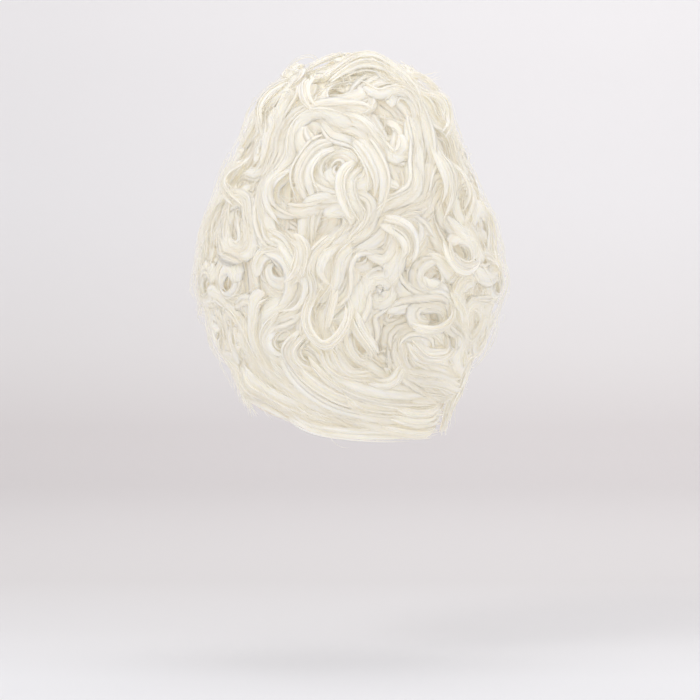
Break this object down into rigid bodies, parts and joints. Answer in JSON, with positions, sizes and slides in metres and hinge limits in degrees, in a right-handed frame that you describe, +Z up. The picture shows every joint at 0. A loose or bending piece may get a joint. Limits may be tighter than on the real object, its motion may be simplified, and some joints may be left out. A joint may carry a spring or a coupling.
{
  "type": "powdered wig",
  "caption": "Powdered wig of pale cream hair, dressed high over the crown and curled all over, on a thin fitted cap, with smooth hair swept across the neck.",
  "frame": {"origin": "inside the cap, where it rests on the crown of the head", "axes": "+Z up, -Y out of the back of the wig, which the picture shows, +X to the right of the picture and to the wearer's right"},
  "size_m": [0.2752, 0.2489, 0.3429],
  "materials": {
    "hair": "soft satin, powdered",
    "cap_net": "matt knitted net"
  },
  "bodies": {
    "root": {"cap": "cap_net", "crown_curls": "hair", "front_curls": "hair", "upper_back_curls": "hair", "middle_back_curls": "hair", "left_side_curls": "hair", "right_side_curls": "hair", "lower_back_curls": "hair", "nape_hair": "hair"}
  },
  "joints": []
}
